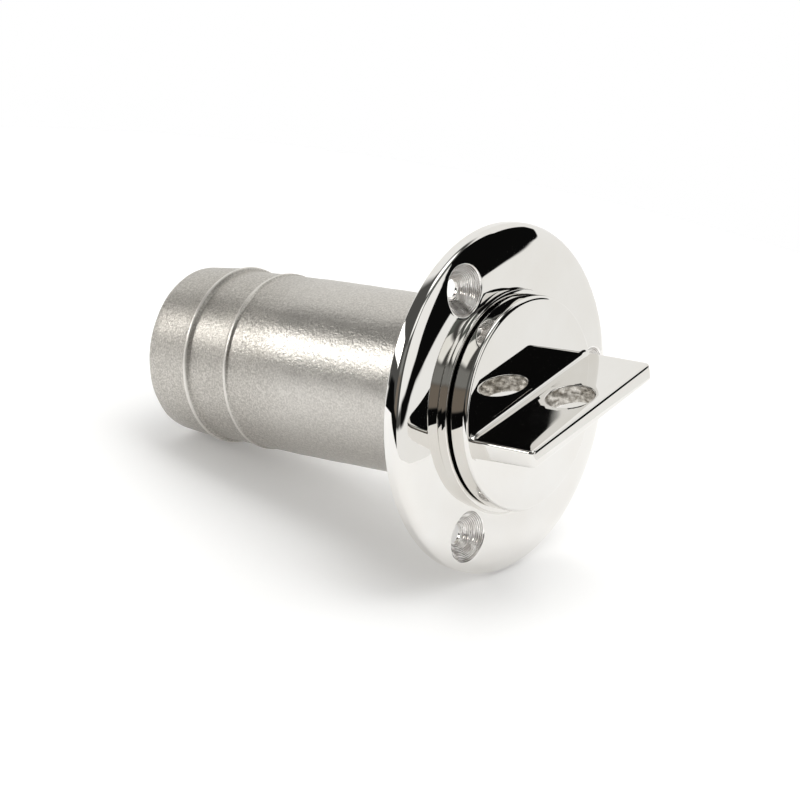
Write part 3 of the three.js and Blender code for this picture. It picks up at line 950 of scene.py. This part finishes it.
def build_swivel():
    head_top = TAG_TOP - SHEET - 0.3
    head_bottom = head_top - RIVET_HEAD_HEIGHT
    rivet = [
        (0, head_bottom, 0),
        (2.1, head_bottom + 0.1, 0.8),
        (RIVET_HEAD_RADIUS, head_bottom + 1.2, 0.5),
        (RIVET_HEAD_RADIUS, head_top, 0.2),
        (RIVET_RADIUS, head_top, 0.1),
        (RIVET_RADIUS, RIVET_TOP, 0.3),
        (0, RIVET_TOP, 0),
    ]
    turned_piece("rivet", rivet, "screw_cap", "swivel_rivet")
    bottom, top = WASHER_HEIGHTS
    inner, outer = WASHER_RADII
    seam = ((inner + outer) / 2, bottom, 0)
    corners = [(inner, bottom, 0.1), (inner, top, 0.1), (outer, top, 0.15), (outer, bottom, 0.15)]
    washer = rounded([seam, *corners, seam])[:-1]
    turned_piece("washer", washer, "screw_cap", "swivel_washer", closed=True)
    bottom = TAG_TOP - TAG_HEIGHT
    bend = -TAG_REACH + SHEET
    outside = [
        (TAG_END, bottom, 0),
        (-TAG_REACH, bottom, TAG_BEND),
        (-TAG_REACH, TAG_TOP, TAG_BEND),
        (TAG_END, TAG_TOP, 0),
    ]
    inside = [
        (TAG_END, TAG_TOP - SHEET, 0),
        (bend, TAG_TOP - SHEET, INNER_BEND),
        (bend, bottom + SHEET, INNER_BEND),
        (TAG_END, bottom + SHEET, 0),
    ]
    bm = bent_plate(rounded(outside, 6) + rounded(inside, 6), TAG_WIDTH)
    round_corners(bm, TAG_CORNER, 0, TAG_END)
    rivet_hole = ("Z", (0, 0, TAG_TOP + 4.6), RIVET_HOLE_RADIUS)
    pin_hole = ("Z", (0, 0, bottom - 4), PIN_HOLE_RADIUS)
    bm = drilled(bm, "tag", [rivet_hole, pin_hole], PLATE_EDGE)
    chain_piece("tag", bm, "chain_swivel", "swivel_tag")


def bead_profile(centre):
    """Hollow ball with a rolled-in hole at each end and a faint joint line round its middle."""
    inner = BEAD_RADIUS - BEAD_WALL
    outer_edge = math.degrees(math.acos(PIN_HOLE_RADIUS / BEAD_RADIUS))
    inner_edge = math.degrees(math.acos(PIN_HOLE_RADIUS / inner))
    outside = arc(0, centre, BEAD_RADIUS, -outer_edge, outer_edge, 20)
    outside[len(outside) // 2] = (BEAD_RADIUS - BEAD_SEAM, centre)
    return outside + arc(0, centre, inner, inner_edge, -inner_edge, 12)


def build_chain():
    """Beads in a row, each held to the next by a pin with a ball at either end."""
    neck_angle = math.degrees(math.acos(PIN_SHANK / PIN_BALL))
    between_pins = (BEAD_PITCH - PIN_LENGTH) / 2
    upper = TAG_TOP - TAG_HEIGHT + SHEET + PIN_SEAT
    for i in range(1, BEAD_COUNT + 2):
        lower = upper - PIN_LENGTH
        pin = arc(0, lower, PIN_BALL, -90, neck_angle, 8)
        pin += arc(0, upper, PIN_BALL, -neck_angle, 90, 8)
        bm = bmesh.new()
        revolve(bm, [(max(0.0, x), z) for x, z in pin], 24)
        chain_piece(f"pin_{i:02d}", bm, "chain", f"chain_pin_{i:02d}")
        if i > BEAD_COUNT:
            break
        centre = lower - between_pins
        bm = bmesh.new()
        revolve(bm, bead_profile(centre), 36, closed=True)
        chain_piece(f"bead_{i:02d}", bm, "chain", f"chain_bead_{i:02d}")
        upper = centre - between_pins
    build_toggle(lower + PIN_SEAT + SHEET)


def build_toggle(top):
    half = CLEVIS_GAP / 2
    outer = half + SHEET
    bottom = top - CLEVIS_HEIGHT
    bar_height = top - BAR_DROP
    outside = [
        (-outer, bottom, 0),
        (-outer, top, CLEVIS_BEND),
        (outer, top, CLEVIS_BEND),
        (outer, bottom, 0),
    ]
    inside = [
        (half, bottom, 0),
        (half, top - SHEET, INNER_BEND),
        (-half, top - SHEET, INNER_BEND),
        (-half, bottom, 0),
    ]
    bm = bent_plate(rounded(outside, 6) + rounded(inside, 6), CLEVIS_WIDTH)
    round_corners(bm, CLEVIS_CORNER, 2, bottom)
    pin_hole = ("Z", (0, 0, top + 4), PIN_HOLE_RADIUS)
    bar_pin_hole = ("X", (0, 0, bar_height), BAR_HOLE_RADIUS)
    bm = drilled(bm, "clevis", [pin_hole, bar_pin_hole], PLATE_EDGE)
    chain_piece("clevis", bm, "chain", "bar_clevis")
    shoulder = outer + 0.3
    end = shoulder + 0.8
    pin = [
        (0, -end, 0),
        (BAR_PIN_HEAD_RADIUS, -end, 0.4),
        (BAR_PIN_HEAD_RADIUS, -shoulder, 0.1),
        (BAR_PIN_RADIUS, -shoulder, 0),
        (BAR_PIN_RADIUS, shoulder, 0),
        (BAR_PIN_HEAD_RADIUS, shoulder, 0.1),
        (BAR_PIN_HEAD_RADIUS, end, 0.4),
        (0, end, 0),
    ]
    turned_piece("toggle_pin", pin, "chain", "bar_pin", turn="Y", move=(0, 0, bar_height))
    straight = BAR_HALF_LENGTH - BAR_RADIUS
    bar = arc(0, -straight, BAR_RADIUS, -90, 0, 8) + arc(0, straight, BAR_RADIUS, 0, 90, 8)
    bm = bmesh.new()
    revolve(bm, [(max(0.0, x), z) for x, z in bar], 48)
    rotate(bm, 90, "X")
    bmesh.ops.recalc_face_normals(bm, faces=bm.faces)
    bm = drilled(bm, "bar", [("X", (0, 0, 0), BAR_HOLE_RADIUS)], BAR_HOLE_EDGE)
    bmesh.ops.translate(bm, verts=bm.verts, vec=(0, 0, bar_height))
    chain_piece("bar", bm, "retaining_bar", "toggle_bar")


build_filler()
build_cap()
build_fin()
build_seal()
build_swivel()
build_chain()


# ---------------------------------------------------------------------- studio

# The part lies on its side on a table: up from the table, and two directions along it
TABLE_UP = Vector((-0.9749, 0, 0.2227))
TABLE_ALONG = Vector((0.2227, 0, 0.9749))
TABLE_ACROSS = Vector((0, 1, 0))
TABLE_DISTANCE = 46.4
TABLE_RADIUS = 330
TABLE_CENTRE = -30  # along TABLE_ALONG

# Panels round the part, as azimuth and elevation ranges in degrees, edge softness, and colour.
# Azimuth runs from TABLE_ACROSS towards TABLE_ALONG. Later panels cover earlier ones.
# Only reflections and the table's light see them: the camera's background is white.
ROOM = (0.085, 0.084, 0.08)
TABLE_WHITE = (0.98, 0.975, 0.955)
BLACK = (0.004, 0.004, 0.004)
PANELS = (
    (-90, 60, -10, 60, 6, (0.98, 0.975, 0.955)),
    (60, 97, 5, 48, 2, (1.02, 1.01, 0.99)),
    (-145, -113, 15, 25, 1.5, (8.0, 7.9, 7.65)),
    (-180, 180, 74, 106, 4, (1.8, 1.8, 1.77)),
    (50, 82, -0.3, 5.5, 0.8, BLACK),
    (60, 110, 49, 66, 2, (0.13, 0.14, 0.13)),
    (108, 145, 43, 64, 3, (1.15, 1.15, 1.12)),
    (128, 168, 24, 41, 3, (0.24, 0.24, 0.23)),
    (128, 168, 4, 24, 3, (0.20, 0.17, 0.14)),
    (118, 178, -12, 4, 1.5, BLACK),
    (176, 226, -12, 6, 1.5, BLACK),
)
# Black wall beside the part and its lower wing, as ranges and softness. The slopes are the rise
# in elevation per degree of azimuth, and the heights the elevation at azimuth 0.
WALL = (33.75, 60, -0.3, 62, 0.1)
WALL_FOOT_SLOPE = -0.8
WALL_FOOT_HEIGHT = 30.9
WING = (18.5, 60, -0.3, 28, 0.4)
WING_TOP_SLOPE = 0.45
WING_TOP_HEIGHT = 12.5
SLOPE_SOFT = 0.4

CAMERA_ANGLES = (-17.943, 37.149, 99.984)  # azimuth, elevation and roll
CAMERA_PLACE = (-0.18439, -0.58560, 0.43427)
CAMERA_LENS = 126


def panel_mask(graph, azimuth, elevation, start, end, bottom, top, soft):
    """1 inside the ranges and 0 outside, also across the seam at 180 degrees."""
    turned = graph.math("SUBTRACT", azimuth, (start + end) / 2)
    across = graph.math("ABSOLUTE", graph.math("WRAP", turned, 180, -180))
    half = (end - start) / 2
    upright = graph.math("ABSOLUTE", graph.math("SUBTRACT", elevation, (bottom + top) / 2))
    tall = (top - bottom) / 2
    inside = graph.spread(across, half - soft, half + soft, 1, 0, True)
    level = graph.spread(upright, tall - soft, tall + soft, 1, 0, True)
    return graph.math("MULTIPLY", inside, level)


def dark_wall(graph, azimuth, elevation):
    """Mask of the black wall, whose foot and whose wing's top slope."""

    def beyond(slope, first, second):
        height = graph.math("SUBTRACT", first, second)
        gap = graph.math("MULTIPLY_ADD", azimuth, slope, height)
        return graph.spread(gap, -SLOPE_SOFT, SLOPE_SOFT, 0, 1, True)

    tall = panel_mask(graph, azimuth, elevation, *WALL)
    wing = panel_mask(graph, azimuth, elevation, *WING)
    wing = graph.math("MULTIPLY", wing, beyond(WING_TOP_SLOPE, WING_TOP_HEIGHT, elevation))
    both = graph.math("MAXIMUM", tall, wing)
    return graph.math("MULTIPLY", both, beyond(-WALL_FOOT_SLOPE, elevation, WALL_FOOT_HEIGHT))


def build_world():
    world = bpy.data.worlds.new("studio")
    world.use_nodes = True
    bpy.context.scene.world = world
    graph = Graph(world.node_tree)
    direction = graph.node("ShaderNodeTexCoord").outputs["Generated"]

    def along(axis):
        return graph.vector_math("DOT_PRODUCT", direction, axis)["Value"]

    turn = graph.math("ARCTAN2", along(TABLE_ALONG), along(TABLE_ACROSS))
    azimuth = graph.math("MULTIPLY", turn, math.degrees(1))
    elevation = graph.math("MULTIPLY", graph.math("ARCSINE", along(TABLE_UP)), math.degrees(1))
    light = graph.blend(graph.spread(elevation, -1, 1, 0, 1, True), TABLE_WHITE, ROOM)
    for *ranges, colour in PANELS:
        light = graph.blend(panel_mask(graph, azimuth, elevation, *ranges), light, colour)
    light = graph.blend(dark_wall(graph, azimuth, elevation), light, BLACK)
    seen = graph.node("ShaderNodeLightPath").outputs["Is Camera Ray"]
    shown = graph.blend(seen, light, (1, 1, 1))
    graph.tree.links.new(shown, graph.tree.nodes["Background"].inputs["Color"])


def build_floor():
    """Round white table top, seen and lit from above only, with a faint glow to lift shadows."""
    centre = -TABLE_UP * TABLE_DISTANCE + TABLE_ALONG * TABLE_CENTRE
    bm = bmesh.new()
    for x, y in circle((0, 0), TABLE_RADIUS, 96):
        bm.verts.new((centre + TABLE_ALONG * x + TABLE_ACROSS * y) * MM)
    bm.faces.new(bm.verts)
    bm.normal_update()
    bm.faces.ensure_lookup_table()
    if bm.faces[0].normal.dot(TABLE_UP) < 0:
        bmesh.ops.reverse_faces(bm, faces=bm.faces)
    floor = as_object(bm, "floor")
    material = new_material("floor_white", (0.92, 0.92, 0.92), 0, 0.6)
    graph = Graph(material.node_tree)
    nodes = graph.tree.nodes
    shader = nodes["Principled BSDF"]
    shader.inputs["Specular IOR Level"].default_value = 0.1
    shader.inputs["Emission Color"].default_value = (1, 1, 1, 1)
    shader.inputs["Emission Strength"].default_value = 0.15
    clear = graph.node("ShaderNodeBsdfTransparent").outputs[0]
    back = graph.node("ShaderNodeNewGeometry").outputs["Backfacing"]
    mix = graph.node("ShaderNodeMixShader", {0: back, 1: shader.outputs[0], 2: clear})
    graph.tree.links.new(mix.outputs[0], nodes["Material Output"].inputs["Surface"])
    floor.data.materials.append(material)


def build_sun(name, azimuth, elevation, width, strength):
    """Wide soft lamp that lights the table but never shows in the polished steel."""
    sun = bpy.data.lights.new(name, "SUN")
    sun.angle = math.radians(width)
    sun.energy = strength
    holder = bpy.data.objects.new(name, sun)
    turn = math.radians(azimuth)
    rise = math.radians(elevation)
    level = TABLE_ACROSS * math.cos(turn) + TABLE_ALONG * math.sin(turn)
    towards = level * math.cos(rise) + TABLE_UP * math.sin(rise)
    holder.rotation_euler = towards.to_track_quat("Z", "Y").to_euler()
    holder.visible_glossy = False
    holder.visible_camera = False
    bpy.context.scene.collection.objects.link(holder)


def build_camera():
    azimuth, elevation, roll = (math.radians(angle) for angle in CAMERA_ANGLES)
    away = math.cos(elevation)
    back = Vector((math.sin(azimuth) * away, -math.cos(azimuth) * away, math.sin(elevation)))
    level = Vector((math.cos(azimuth), math.sin(azimuth), 0))
    upright = back.cross(level)
    right = level * math.cos(roll) + upright * math.sin(roll)
    up = back.cross(right)
    data = bpy.data.cameras.new("camera")
    data.sensor_width = 36
    data.lens = CAMERA_LENS
    camera = bpy.data.objects.new("camera", data)
    turn = Matrix((right, up, back)).transposed().to_4x4()
    camera.matrix_world = Matrix.Translation(CAMERA_PLACE) @ turn
    bpy.context.scene.collection.objects.link(camera)
    bpy.context.scene.camera = camera


build_world()
build_floor()
build_sun("key", azimuth=35, elevation=72, width=50, strength=1.04)
build_sun("dome", azimuth=0, elevation=90, width=170, strength=0.55)
build_camera()
bpy.context.scene.view_settings.view_transform = "Standard"
